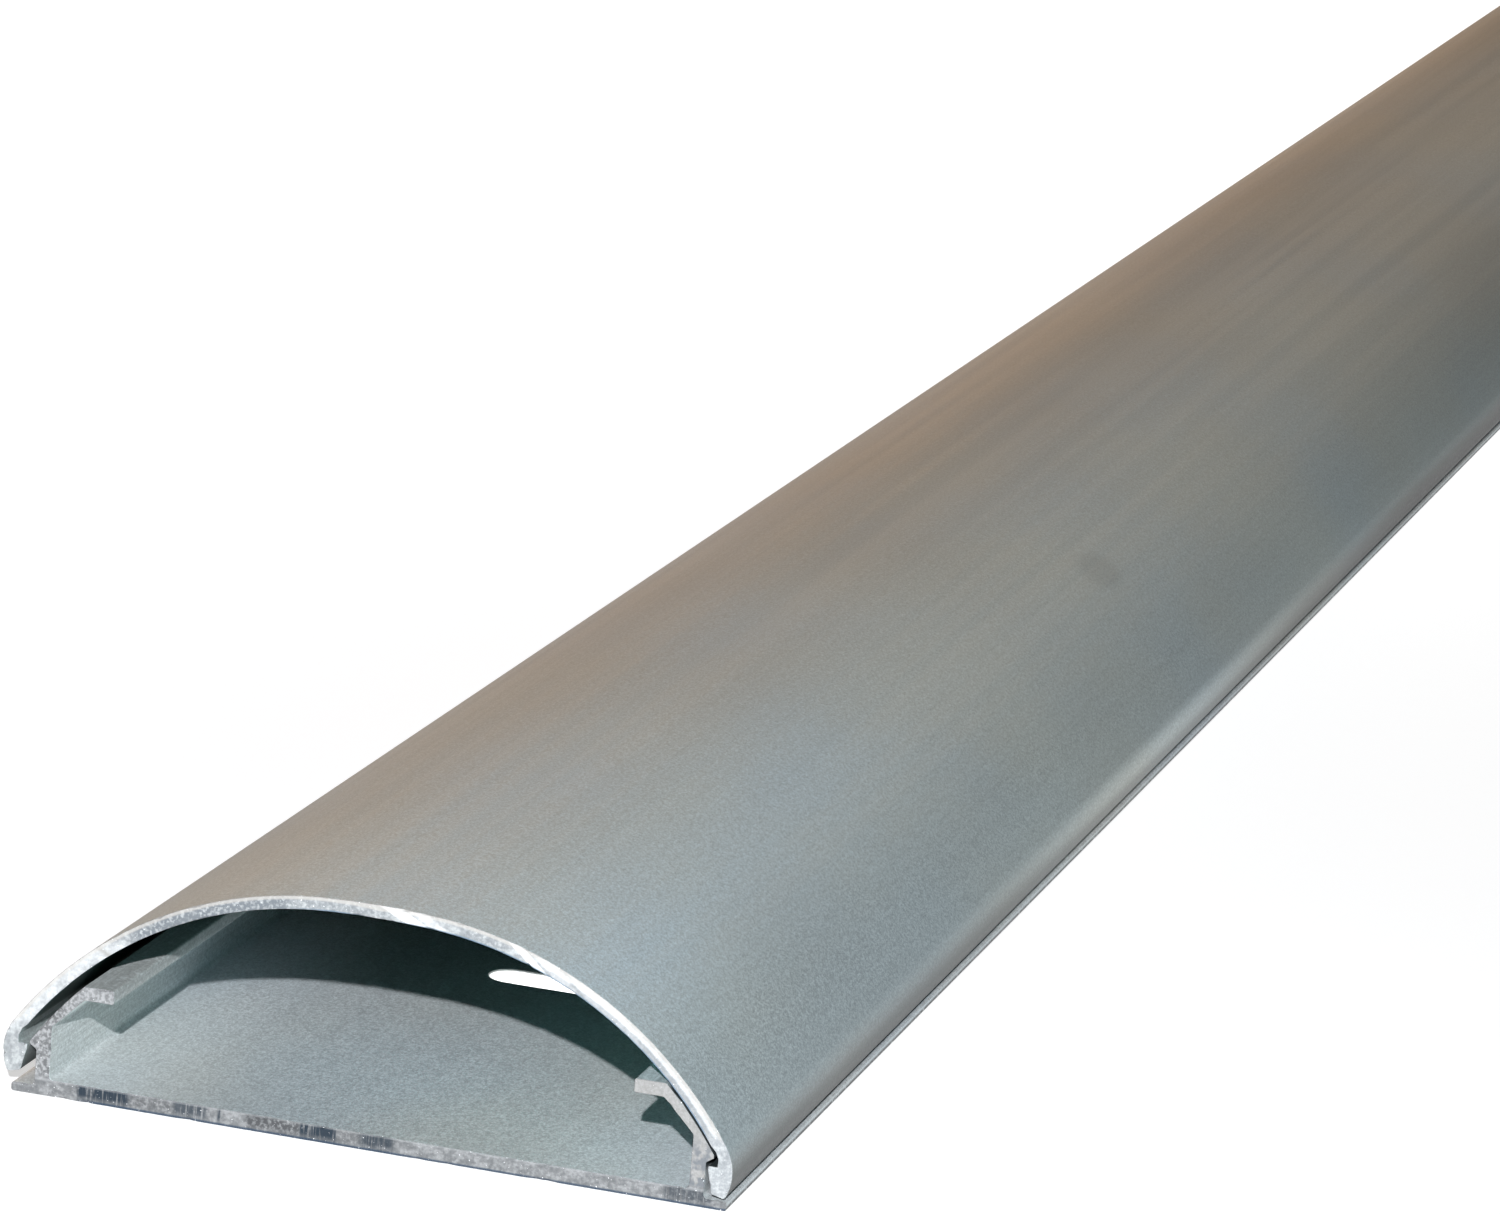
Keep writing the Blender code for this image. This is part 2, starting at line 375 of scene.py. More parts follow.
def cut_slots(rail, bright):
    """Cuts the screw slots through the plate and gives their walls the bright metal.

    The walls are the steep faces within the plate, away from the cut ends.
    """
    first = SLOT_END_DISTANCE - HALF_LENGTH
    pitch = (LENGTH - 2 * SLOT_END_DISTANCE) / (SLOT_COUNT - 1)
    cutters = []
    for i in range(SLOT_COUNT):
        cutter = slot_cutter(f"slot_cutter_{i + 1}", first + i * pitch)
        cut = rail.modifiers.new(cutter.name, "BOOLEAN")
        cut.operation = "DIFFERENCE"
        cut.solver = "EXACT"
        cut.object = cutter
        cutters.append(cutter)
    bpy.context.view_layer.update()
    graph = bpy.context.evaluated_depsgraph_get()
    mesh = bpy.data.meshes.new_from_object(rail.evaluated_get(graph))
    rail.modifiers.clear()
    rail.data = mesh
    mesh.materials.append(bright)
    for cutter in cutters:
        bpy.data.objects.remove(cutter, do_unlink=True)
    for face in mesh.polygons:
        x, y, z = (v / MM for v in face.center)
        in_plate = -SLOT_CHAMFER < z < PLATE_THICKNESS + SLOT_CHAMFER
        by_slot = abs(x) < SLOT_LENGTH / 2 + 2.0 and abs(y) < HALF_LENGTH - 5.0
        if in_plate and by_slot and abs(face.normal.z) < 0.9:
            face.material_index = len(mesh.materials) - 1
    mesh.set_sharp_from_angle(angle=SHARP_ANGLE)


# Marks on the near cut faces: from, to, strength and softness, in millimetres of X
PLATE_TEETH = [
    (-32.6, -26.6, 1.0, 0.5),
    (-21.5, -17.8, 0.8, 0.4),
    (-16.6, -16.2, 0.9, 0.15),
    (-7.3, -3.1, 1.0, 0.3),
    (-0.4, 3.2, 0.85, 0.5),
    (33.1, 38.3, 0.6, 0.25),
]
PLATE_DULL = [
    (-33.0, -21.5, 0.5, 1.0),
    (-13.3, -7.3, 0.95, 0.4),
    (-7.3, 3.4, 0.45, 0.5),
    (33.1, 38.6, 0.5, 0.25),
]
COVER_DULL = [
    (-27.5, -10.0, 1.0, 1.2),
    (-9.5, 1.0, 0.45, 1.0),
    (8.5, 14.0, 0.4, 0.6),
    (18.5, 22.0, 0.2, 0.5),
    (28.0, 42.0, 0.5, 1.5),
]
COVER_BRIGHT = [
    (-41.0, -30.5, 0.25, 1.0),
    (0.2, 2.4, 0.85, 0.3),
    (2.8, 5.0, 0.35, 0.5),
    (14.0, 15.8, 0.85, 0.2),
    (16.6, 19.6, 0.35, 0.4),
    (20.6, 27.0, 0.3, 0.5),
    (27.0, 42.0, 0.12, 1.0),
]
COVER_NOTCH = [(-31.5, -31.0, 0.6, 0.25)]
PLATE_MARK_TOP = 1.75

# Bands through the depth of the cover's cut face, and the stretches of skin behind the barb and in
# the cover's recess that are painted nearly black as shade
BRIGHT_BAND = [(0.35, 0.75, 0.3, 0.15)]
GREY_BAND = [(0.8, 1.3, 0.55, 0.12)]
GAP_SHADE_HEIGHT = [(BARB_UNDERSIDE - 0.8, LIP_TOP - 0.2, 0.95, 0.5)]
RECESS_ACROSS = [(30.0, HOOK_TIP + 0.4, 0.9, 0.1)]
RECESS_HEIGHT = [(4.3, 7.5, 1.0, 0.2)]

# X plus Z is more than this outside the leaning wall at +X
LEAN_SUM = 43.9

# Painted highlight and painted shade in stretches along the low +X edge of the cover, in
# millimetres of Y
EDGE_PAINTED_HIGHLIGHT = [(-345.0, -240.0, 1.0, 50.0)]
EDGE_PAINTED_SHADE = [
    (-540.0, -475.0, 0.35, 20.0),
    (-475.0, -400.0, 0.12, 30.0),
    (-170.0, 600.0, 0.75, 70.0),
]

# Smudge on the cover: X, Y, half width, half length and strength
SMUDGE = (24.3, -269.4, 3.8, 8.5, 0.3)

# Painted shade on the foot of each piece: height where it starts, height where it ends, darkest
# factor
RAIL_FOOT_SHADE = (0.75, 0.3, 0.05)
COVER_FOOT_SHADE = (6.6, 2.0, 0.25)

# Skin colours
WHITE = (1.0, 1.0, 1.0, 1.0)
RAIL_LIGHT = (0.46, 0.49, 0.495, 1.0)
RAIL_DARK = (0.41, 0.435, 0.445, 1.0)
COVER_LIGHT = (0.345, 0.395, 0.4, 1.0)
COVER_DARK = (0.31, 0.35, 0.355, 1.0)
WARM_TINT = (1.025, 1.0, 0.97, 1.0)
COOL_TINT = (0.97, 1.0, 1.035, 1.0)
# Warm tint of painted reflection on the cover's low +X edge
EDGE_REFLECTION_TINT = (1.0, 0.93, 0.89, 1.0)
# Cool painted light on the cover's front
FRONT_LIGHT_TINT = (1.06, 1.11, 1.17, 1.0)
# Inside of the cover: teal to tint the light it bounces into the shaded channel, darker toward -X
# as painted shade
INSIDE_SHADE_COLOUR = (0.3, 0.6, 0.58, 1.0)
# Nearly black painted shade for the narrow gap between rail and cover
GAP_SHADE_COLOUR = (0.012, 0.018, 0.02, 1.0)
SATIN_METALLIC = 0.35
SATIN_ROUGHNESS = 0.45

# Colours of the cut faces
PLATE_CUT_LIGHT = (0.25, 0.255, 0.26, 1.0)
PLATE_CUT_MID = (0.14, 0.145, 0.15, 1.0)
PLATE_DULL_COLOUR = (0.05, 0.052, 0.056, 1.0)
PLATE_TEETH_COLOUR = (0.012, 0.022, 0.034, 1.0)
RIGHT_WALL_COLOUR = (0.26, 0.255, 0.245, 1.0)
STAIN_COLOUR = (0.09, 0.105, 0.125, 1.0)
BOTTOM_SHADOW_COLOUR = (0.01, 0.03, 0.06, 1.0)
COVER_CUT_LIGHT = (0.4, 0.42, 0.425, 1.0)
COVER_CUT_MID = (0.26, 0.275, 0.285, 1.0)
COVER_DULL_COLOUR = (0.13, 0.145, 0.16, 1.0)
BRIGHT_METAL = (0.8, 0.81, 0.82, 1.0)
COVER_NOTCH_COLOUR = (0.2, 0.19, 0.17, 1.0)
OUTER_RIM_COLOUR = (0.42, 0.4, 0.37, 1.0)
INNER_RIM_COLOUR = (0.06, 0.12, 0.19, 1.0)
# White of the painted glints on the cut faces
PAINTED_GLINT = (0.98, 0.98, 1.0, 1.0)
CUT_METALLIC = 0.4

# Colours of the slot walls: partly the punched metal's own pale face, made near white as painted
# light because the walls lie in shade
PUNCHED_LIGHT = (0.9, 0.9, 0.89, 1.0)
PUNCHED_MID = (0.8, 0.81, 0.81, 1.0)
PUNCHED_DARK = (0.6, 0.62, 0.64, 1.0)
PUNCHED_METALLIC = 0.1

# Noise scales along X, Y and Z, in cells per millimetre
CLOUD_SCALE = (0.016, 0.007, 0.016)
TINT_SCALE = (0.03, 0.012, 0.03)
GRAIN_SCALE = (2.6, 1.7, 2.6)
FINE_SCALE = (5.4, 3.6, 5.4)
LINES_SCALE = (3.4, 0.012, 3.4)
BROAD_LINES_SCALE = (0.5, 0.004, 0.5)
BLOTCH_SCALE = (0.42, 0.3, 0.42)
POWDER_SCALE = (1.7, 1.2, 1.7)
TEETH_SCALE = (2.5, 1.0, 0.12)
DABS_SCALE = (0.9, 0.9, 1.1)
SPECK_SCALE = (2.3, 2.3, 2.3)
PATCH_SCALE = (0.09, 1.0, 0.05)
GLINT_SCALE = (4.2, 4.2, 4.2)
STAIN_SCALE = (0.9, 0.9, 0.7)
SCORES_SCALE = (2.4, 2.4, 0.25)
PUNCHED_SPECK_SCALE = (4.0, 4.0, 4.0)

# Bump depths, in metres
GRAIN_DEPTH = 0.00003
TEETH_DEPTH = 0.00005
SPECK_DEPTH = 0.00004
SCORES_DEPTH = 0.00003

# Floor: half its side and how far it lies below the rail, in metres
FLOOR_HALF_SIDE = 6.0
FLOOR_DROP = 0.00002
PAPER_GREY = (0.5, 0.5, 0.5, 1.0)
BEYOND_GREY = (0.6, 0.6, 0.6, 1.0)

# Light that the floor gives off: from the front to far back, and extra under the first slot
FLOOR_GLOW = (0.6, 1.05)
FLOOR_GLOW_REACH = (-520.0, 280.0)
SLOT_GLOW = 3.0
SLOT_GLOW_HALF_WIDTH = 9.0
SLOT_GLOW_HALF_LENGTH = 4.5

# Small hard light from the front: direction of travel, point it aims at, distance and colour
KEY_TRAVEL = (-0.2226, 0.8870, -0.415)
KEY_AIM = (0.0, -0.46, 0.0)
KEY_DISTANCE = 0.9
KEY_SIZE = 0.012
KEY_POWER = 17.4
KEY_COLOUR = (0.96, 0.97, 1.0)

# Soft lights: name, place, aim, size, power and colour
SOFT_LIGHTS = [
    ("low_fill", (1.2, -1.5, 0.35), (0.0, -0.5, 0.0), 0.6, 4.83, (0.6, 0.98, 1.0)),
    ("warm_left", (-1.6, 2.8, 0.9), (0.0, 0.0, 0.0), 1.8, 14.6, (1.0, 0.634, 0.38)),
    ("warm_back", (0.0, 4.0, 1.5), (0.0, 0.0, 0.0), 2.0, 14.6, (1.0, 0.767, 0.565)),
]

# Camera that gives the photograph's view
CAMERA_LENS = 165.314
CAMERA_SENSOR = 36.0
CAMERA_CLIP = (0.01, 60.0)
CAMERA_PLACE = (0.2123, -1.16255, 0.22465)
CAMERA_RIGHT = (0.95815, 0.27377, 0.0837)
CAMERA_UP = (-0.14109, 0.19716, 0.97017)


class Nodes:
    """Short way to lay out a node tree. Places and lengths are in millimetres."""

    def __init__(self, material):
        material.use_nodes = True
        self.tree = material.node_tree
        self.shader = self.tree.nodes["Principled BSDF"]
        coords = self.tree.nodes.new("ShaderNodeTexCoord")
        self.place = self.scaled(coords.outputs["Object"], (1.0 / MM, 1.0 / MM, 1.0 / MM))
        self.axes = self.tree.nodes.new("ShaderNodeSeparateXYZ")
        self.tree.links.new(self.place, self.axes.inputs["Vector"])

    def put(self, value, socket):
        """Sets the socket to a number or colour, or links it to another node's output."""
        if isinstance(value, (int, float, tuple)):
            socket.default_value = value
        else:
            self.tree.links.new(value, socket)

    def surface(self, name, value):
        self.put(value, self.shader.inputs[name])

    def scaled(self, source, scale, move=(0.0, 0.0, 0.0)):
        node = self.tree.nodes.new("ShaderNodeMapping")
        node.inputs["Scale"].default_value = scale
        node.inputs["Location"].default_value = move
        self.tree.links.new(source, node.inputs["Vector"])
        return node.outputs["Vector"]

    def noise(self, scale, detail=2.0, rough=0.5, move=(0.0, 0.0, 0.0)):
        node = self.tree.nodes.new("ShaderNodeTexNoise")
        node.inputs["Scale"].default_value = 1.0
        node.inputs["Detail"].default_value = detail
        node.inputs["Roughness"].default_value = rough
        self.tree.links.new(self.scaled(self.place, scale, move), node.inputs["Vector"])
        return node.outputs["Fac"]

    def axis(self, name):
        return self.axes.outputs[name]

    def math(self, kind, a, b=0.0):
        node = self.tree.nodes.new("ShaderNodeMath")
        node.operation = kind
        self.put(a, node.inputs[0])
        self.put(b, node.inputs[1])
        return node.outputs["Value"]

    def times(self, first, *others):
        product = first
        for other in others:
            product = self.math("MULTIPLY", product, other)
        return product

    def plus(self, a, b):
        return self.math("ADD", a, b)

    def minus(self, a, b):
        return self.math("SUBTRACT", a, b)

    def ramp(self, value, low, high, out_low=0.0, out_high=1.0):
        """Value from low to high becomes out_low to out_high, held at both ends."""
        node = self.tree.nodes.new("ShaderNodeMapRange")
        node.interpolation_type = "SMOOTHSTEP"
        self.put(value, node.inputs["Value"])
        self.put(low, node.inputs["From Min"])
        self.put(high, node.inputs["From Max"])
        self.put(out_low, node.inputs["To Min"])
        self.put(out_high, node.inputs["To Max"])
        return node.outputs["Result"]

    def mix(self, factor, a, b, kind="MIX"):
        node = self.tree.nodes.new("ShaderNodeMix")
        node.data_type = "RGBA"
        node.blend_type = kind
        self.put(factor, node.inputs[0])
        self.put(a, node.inputs[6])
        self.put(b, node.inputs[7])
        return node.outputs[2]

    def mix_value(self, factor, a, b):
        node = self.tree.nodes.new("ShaderNodeMix")
        node.data_type = "FLOAT"
        self.put(factor, node.inputs[0])
        self.put(a, node.inputs[2])
        self.put(b, node.inputs[3])
        return node.outputs[0]

    def tone(self, colour, factor):
        """The colour multiplied by a number or by another colour."""
        return self.mix(1.0, colour, factor, "MULTIPLY")

    def spot(self, smudge):
        """Soft round spot (x, y, half width, half length, strength)."""
        x, y, across, along, strength = smudge
        dx = self.times(self.minus(self.axis("X"), x), 1.0 / across)
        dy = self.times(self.minus(self.axis("Y"), y), 1.0 / along)
        away = self.plus(self.times(dx, dx), self.times(dy, dy))
        return self.ramp(away, 0.1, 1.0, strength, 0.0)

    def windows(self, value, spans):
        """Sum of soft windows (from, to, strength, softness) along one value."""
        total = 0.0
        for low, high, strength, soft in spans:
            rise = self.ramp(value, low - soft, low + soft)
            fall = self.ramp(value, high - soft, high + soft, 1.0, 0.0)
            total = self.plus(self.times(rise, fall, strength), total)
        return total

    def depth(self):
        """Depth under the cover's outer face. It holds above the edge arcs."""
        c, s, dx, dz = seat()
        shoulder = cover_centres()[1]
        x = self.minus(self.axis("X"), dx)
        z = self.minus(self.axis("Z"), dz)
        own_x = self.minus(self.times(x, c), self.times(z, s))
        own_z = self.plus(self.times(z, c), self.times(x, s))
        across = self.minus(self.math("ABSOLUTE", own_x), shoulder[0])
        upward = self.minus(own_z, shoulder[1])
        square = self.plus(self.times(across, across), self.times(upward, upward))
        return self.minus(SHOULDER_RADIUS, self.math("SQRT", square))

    def bump(self, height, strength, distance, under=None):
        node = self.tree.nodes.new("ShaderNodeBump")
        node.inputs["Strength"].default_value = strength
        node.inputs["Distance"].default_value = distance
        self.tree.links.new(height, node.inputs["Height"])
        if under is not None:
            self.tree.links.new(under, node.inputs["Normal"])
        return node.outputs["Normal"]


def tinted(colour, factor):
    return tuple(c * factor for c in colour[:3]) + (1.0,)


def satin(name, light, dark, foot_shade):
    """Satin anodised aluminium: fine matt grain, soft clouding and painted shade on its foot.

    Returns the material, its node layout, the colour so far and the noise of the fine lines
    along the length, for the piece's own marks.
    """
    material = bpy.data.materials.new(name)
    n = Nodes(material)
    cloud = n.noise(CLOUD_SCALE, 2.0, 0.5)
    tint = n.noise(TINT_SCALE, 2.0, 0.5, (11.0, 3.0, 5.0))
    grain = n.noise(GRAIN_SCALE, 1.0, 0.6)
    fine = n.noise(FINE_SCALE, 1.0, 0.6)
    lines = n.noise(LINES_SCALE, 3.0, 0.7)
    broad_lines = n.noise(BROAD_LINES_SCALE, 2.0, 0.5)

    colour = n.mix(n.ramp(cloud, 0.3, 0.7), dark, light)
    colour = n.tone(colour, n.mix(n.ramp(tint, 0.35, 0.65), WARM_TINT, COOL_TINT))
    colour = n.tone(colour, n.ramp(grain, 0.3, 0.7, 0.88, 1.12))
    colour = n.tone(colour, n.ramp(fine, 0.3, 0.7, 0.86, 1.14))
    # Painted shade: the colour darkens toward the foot of the piece
    start, stop, darkest = foot_shade
    colour = n.tone(colour, n.ramp(n.axis("Z"), stop, start, darkest, 1.0))
    from_end = n.minus(HALF_LENGTH, n.math("ABSOLUTE", n.axis("Y")))
    wear = n.times(n.ramp(from_end, 0.05, 0.3, 1.0, 0.0), n.ramp(fine, 0.4, 0.6, 0.1, 0.8))
    colour = n.mix(wear, colour, tinted(light, 1.5))

    rough = n.plus(SATIN_ROUGHNESS, n.ramp(grain, 0.3, 0.7, 0.0, 0.08))
    rough = n.plus(rough, n.ramp(broad_lines, 0.35, 0.65, 0.0, 0.04))
    n.surface("Roughness", rough)
    n.surface("Metallic", SATIN_METALLIC)
    n.surface("Normal", n.bump(grain, 0.38, GRAIN_DEPTH))
    return material, n, colour, lines


def streaked(n, colour, lines, amount):
    """Lines along the length laid over the colour. amount is how strongly they show."""
    shift = n.times(n.ramp(lines, 0.3, 0.7, -1.0, 1.0), amount)
    return n.tone(colour, n.plus(1.0, shift))


def gap_shade_mask(n):
    """Where the rail's skin at +X lies outside its wall, in the gap behind the cover, where it
    gets painted shade.
    """
    past_wall = n.minus(n.axis("X"), WALL_OUTSIDE - 0.3)
    past_lean = n.minus(n.plus(n.axis("X"), n.axis("Z")), LEAN_SUM)
    outside = n.ramp(n.math("MAXIMUM", past_wall, past_lean), 0.0, 0.15)
    return n.times(outside, n.windows(n.axis("Z"), GAP_SHADE_HEIGHT))


def rail_finish(name, light, dark):
    """Satin of the rail: streaked walls, painted light and shade on plate, walls and lips, and a
    powdery pale speckle.
    """
    material, n, colour, lines = satin(name, light, dark, RAIL_FOOT_SHADE)
    height = n.axis("Z")
    colour = streaked(n, colour, lines, n.ramp(height, 1.9, 2.6, 0.03, 0.13))
    # Painted bounce light: the walls and the lips' inner faces are paler high up
    colour = n.tone(colour, n.ramp(height, 7.5, 9.5, 1.0, 1.6))
    # Painted shade: the tops of the lips are darker
    colour = n.tone(colour, n.ramp(height, 11.2, 11.4, 1.0, 0.45))
    # Painted light: the plate is paler toward the walls
    colour = n.tone(colour, n.ramp(n.math("ABSOLUTE", n.axis("X")), 12.0, 27.0, 1.0, 1.14))
    blotch = n.noise(BLOTCH_SCALE, 3.0, 0.6, (2.0, 8.0, 1.0))
    powder = n.noise(POWDER_SCALE, 2.0, 0.7, (6.0, 1.0, 4.0))
    dust = n.times(n.ramp(powder, 0.5, 0.68), n.ramp(blotch, 0.42, 0.6, 0.15, 0.55))
    colour = n.mix(dust, colour, tinted(light, 1.32))
    # Painted shade: the skin in the gap behind the cover is painted nearly black
    colour = n.mix(gap_shade_mask(n), colour, GAP_SHADE_COLOUR)
    n.surface("Base Color", colour)
    return material


def edge_highlight_and_shade(n, colour):
    """Painted highlight and painted shade in stretches along the cover's low edge at +X, under a
    warm tint of painted reflection.
    """
    along = n.axis("Y")
    low = n.times(n.ramp(n.axis("Z"), 3.6, 7.0, 1.0, 0.0), n.ramp(n.axis("X"), 0.0, 1.0))
    highlight_and_shade = n.minus(n.windows(along, EDGE_PAINTED_HIGHLIGHT), n.windows(along, EDGE_PAINTED_SHADE))
    colour = n.tone(colour, n.plus(1.0, n.times(low, highlight_and_shade)))
    return n.tone(colour, n.mix(low, WHITE, EDGE_REFLECTION_TINT))


def painted_light_along_cover(n, colour):
    """Painted light along the cover: a cooler painted light on its front, painted shade on the far
    flank and a slightly paler painted light at the tip.
    """
    along = n.axis("Y")
    across = n.axis("X")
    front = n.times(
        n.ramp(along, 30.0 - HALF_LENGTH, 240.0 - HALF_LENGTH, 1.0, 0.0),
        n.ramp(across, -22.0, 0.0),
        n.ramp(across, 22.0, 36.0, 1.0, 0.0),
    )
    colour = n.tone(colour, n.mix(front, WHITE, FRONT_LIGHT_TINT))
    # Painted shade on the far flank at +X
    far = n.times(n.ramp(along, -250.0, -20.0, 0.0, 0.2), n.ramp(across, 5.0, 30.0))
    colour = n.tone(colour, n.minus(1.0, far))
    # Painted light: the top is slightly paler near the cut end
    end = n.ramp(along, -HALF_LENGTH, 45.0 - HALF_LENGTH, 0.06, 0.0)
    tip = n.times(end, n.ramp(n.axis("Z"), 12.0, 20.0))
    return n.tone(colour, n.plus(1.0, tip))


def cover_finish(name, light, dark):
    """Satin of the cover: painted light and shade along it, a painted teal and dark inside,
    painted shade in its recess, and a smudge.
    """
    material, n, colour, lines = satin(name, light, dark, COVER_FOOT_SHADE)
    colour = streaked(n, colour, lines, 0.025)
    colour = edge_highlight_and_shade(n, colour)
    colour = painted_light_along_cover(n, colour)
    # Painted shade on the cover's inside, darkest toward -X, in a teal that tints the bounce light
    inside = n.times(n.ramp(n.depth(), 0.9, 1.2), n.ramp(n.axis("Z"), 7.0, 8.5))
    toward_right = n.ramp(n.axis("X"), -16.0, 16.0)
    shade = n.mix(toward_right, tinted(INSIDE_SHADE_COLOUR, 0.15), INSIDE_SHADE_COLOUR)
    colour = n.mix(inside, colour, shade)
    colour = n.mix(n.spot(SMUDGE), colour, tinted(dark, 0.6))
    # Painted shade: the cover's recess beside the barb is painted nearly black
    recess = n.windows(n.axis("X"), RECESS_ACROSS)
    recess = n.times(recess, n.windows(n.axis("Z"), RECESS_HEIGHT))
    colour = n.mix(recess, colour, GAP_SHADE_COLOUR)
    n.surface("Base Color", colour)
    return material


def saw_marks(name, light, mid, layers, height_limit=None):
    """Saw-cut aluminium: tooth marks, mottling and painted glints, white specks of highlight
    painted into the colour.

    layers holds (spans, colour, kind, slant), laid over the near end in turn. Kind is teeth,
    mottle or flat, and slant is how far along X the marks lean for each millimetre under the
    cover's outer face. The far end gets the same colours in patches of its own. height_limit
    keeps the near marks below that height.

    Returns the material, its node layout, the colour so far, the speck noise and the mask of the
    painted glints.
    """
    material = bpy.data.materials.new(name)
    n = Nodes(material)
    teeth = n.noise(TEETH_SCALE, 3.0, 0.7)
    dabs = n.noise(DABS_SCALE, 3.0, 0.6, (5.0, 0.0, 2.0))
    speck = n.noise(SPECK_SCALE, 1.5, 0.6)
    patch = n.noise(PATCH_SCALE, 2.0, 0.5, (3.7, 0.0, 0.0))
    glint = n.noise(GLINT_SCALE, 1.0, 0.5, (1.0, 4.0, 9.0))
    masks = {
        "teeth": n.ramp(teeth, 0.4, 0.5, 0.2, 1.0),
        "mottle": n.ramp(speck, 0.36, 0.56, 0.25, 1.0),
        "flat": n.ramp(dabs, 0.3, 0.5, 0.6, 1.0),
    }
    near = n.ramp(n.axis("Y"), 2.0 - HALF_LENGTH, 3.0 - HALF_LENGTH, 1.0, 0.0)
    height = n.axis("Z")

    colour = n.mix(n.ramp(dabs, 0.38, 0.62), mid, light)
    colour = n.mix(n.ramp(speck, 0.35, 0.7, 0.0, 0.5), colour, tinted(mid, 0.6))
    for i, (spans, shade, kind, slant) in enumerate(layers):
        far_marks = n.ramp(patch, 0.52 + 0.04 * i, 0.6 + 0.04 * i, 0.0, 0.8)
        across = n.axis("X")
        if slant:
            across = n.minus(across, n.times(n.depth(), slant))
        near_marks = n.windows(across, spans)
        if height_limit is not None:
            low = n.ramp(height, height_limit, height_limit + 0.25, 1.0, 0.0)
            near_marks = n.times(near_marks, low, n.ramp(height, 0.35, 0.9, 0.5, 1.0))
        marks = n.mix_value(near, far_marks, near_marks)
        colour = n.mix(n.times(marks, masks[kind]), colour, shade)
    n.surface("Roughness", n.ramp(speck, 0.3, 0.7, 0.4, 0.62))
    n.surface("Metallic", CUT_METALLIC)
    scratches = n.bump(teeth, 0.5, TEETH_DEPTH)
    n.surface("Normal", n.bump(speck, 0.5, SPECK_DEPTH, scratches))
    return material, n, colour, speck, n.ramp(glint, 0.7, 0.78)


def cut_walls(n, colour, speck, light, mid):
    """Cut walls of the rail: dull speckle at -X, even and pale with a stained foot at +X."""
    height = n.axis("Z")
    across = n.axis("X")
    walls = n.ramp(height, 1.9, 2.4)
    pale = n.times(walls, n.ramp(speck, 0.35, 0.6, 0.6, 0.1))
    colour = n.mix(pale, colour, tinted(light, 1.5))
    left = n.times(walls, n.ramp(across, -34.5, -33.0, 1.0, 0.0))
    dull = n.times(left, n.ramp(speck, 0.42, 0.62, 0.1, 0.45))
    colour = n.mix(dull, colour, tinted(mid, 0.45))
    right = n.times(walls, n.ramp(across, 27.0, 28.5))
    colour = n.mix(n.times(right, 0.65), colour, RIGHT_WALL_COLOUR)
    foot = n.times(right, n.ramp(height, 5.5, 8.0, 1.0, 0.0))
    blot = n.noise(STAIN_SCALE, 2.0, 0.6, (7.0, 2.0, 1.0))
    stain = n.times(foot, n.ramp(blot, 0.42, 0.58, 0.0, 0.7))
    return n.mix(stain, colour, STAIN_COLOUR)


def rail_sawn(name, light, mid, layers):
    """Cut face of the rail: pale top edge of the plate, and a painted shadow line along its
    bottom.
    """
    material, n, colour, speck, painted_glints = saw_marks(name, light, mid, layers, PLATE_MARK_TOP)
    height = n.axis("Z")
    top = n.times(n.ramp(height, 1.55, 1.8, 0.0, 0.35), n.ramp(height, 1.85, 2.1, 1.0, 0.0))
    colour = n.mix(top, colour, tinted(light, 1.6))
    colour = cut_walls(n, colour, speck, light, mid)
    # Painted shadow: a dark line along the bottom of the plate's cut face, where it meets the
    # floor
    bottom = n.times(n.ramp(height, 0.15, 0.36, 0.85, 0.0), n.ramp(n.axis("X"), -33.0, -30.0))
    colour = n.mix(bottom, colour, BOTTOM_SHADOW_COLOUR)
    # Painted highlight: white glints laid over the colour
    n.surface("Base Color", n.mix(painted_glints, colour, PAINTED_GLINT))
    return material


def cover_sawn(name, light, mid, layers):
    """Cut face of the cover: beige outer rim, brighter outer half at +X, dark inner rim."""
    material, n, colour, _, painted_glints = saw_marks(name, light, mid, layers)
    depth = n.depth()
    upper = n.ramp(n.axis("Z"), 7.0, 8.5)
    right = n.times(upper, n.ramp(n.axis("X"), 12.0, 24.0))
    colour = n.mix(n.times(right, n.windows(depth, BRIGHT_BAND)), colour, BRIGHT_METAL)
    colour = n.mix(n.times(right, n.windows(depth, GREY_BAND)), colour, tinted(mid, 0.8))
    outer = n.times(n.ramp(depth, 0.25, 0.5, 0.6, 0.0), upper)
    colour = n.mix(outer, colour, OUTER_RIM_COLOUR)
    inner = n.times(n.ramp(depth, 1.2, 1.4, 0.0, 0.8), upper, n.ramp(n.axis("X"), -12.0, -4.0))
    colour = n.mix(inner, colour, INNER_RIM_COLOUR)
    # Painted highlight: white glints laid over the colour
    n.surface("Base Color", n.mix(painted_glints, colour, PAINTED_GLINT))
    return material


def punched(name):
    """Bright punched aluminium of the slot walls, made near white as painted light in their shade,
    with faint upright scores.
    """
    material = bpy.data.materials.new(name)
    n = Nodes(material)
    scores = n.noise(SCORES_SCALE, 2.0, 0.6)
    speck = n.noise(PUNCHED_SPECK_SCALE, 1.0, 0.5)
    colour = n.mix(n.ramp(scores, 0.35, 0.65), PUNCHED_MID, PUNCHED_LIGHT)
    colour = n.mix(n.ramp(speck, 0.6, 0.75, 0.0, 0.3), colour, PUNCHED_DARK)
    n.surface("Base Color", colour)
    n.surface("Roughness", n.ramp(speck, 0.3, 0.7, 0.4, 0.5))
    n.surface("Metallic", PUNCHED_METALLIC)
    n.surface("Normal", n.bump(scores, 0.4, SCORES_DEPTH))
    return material


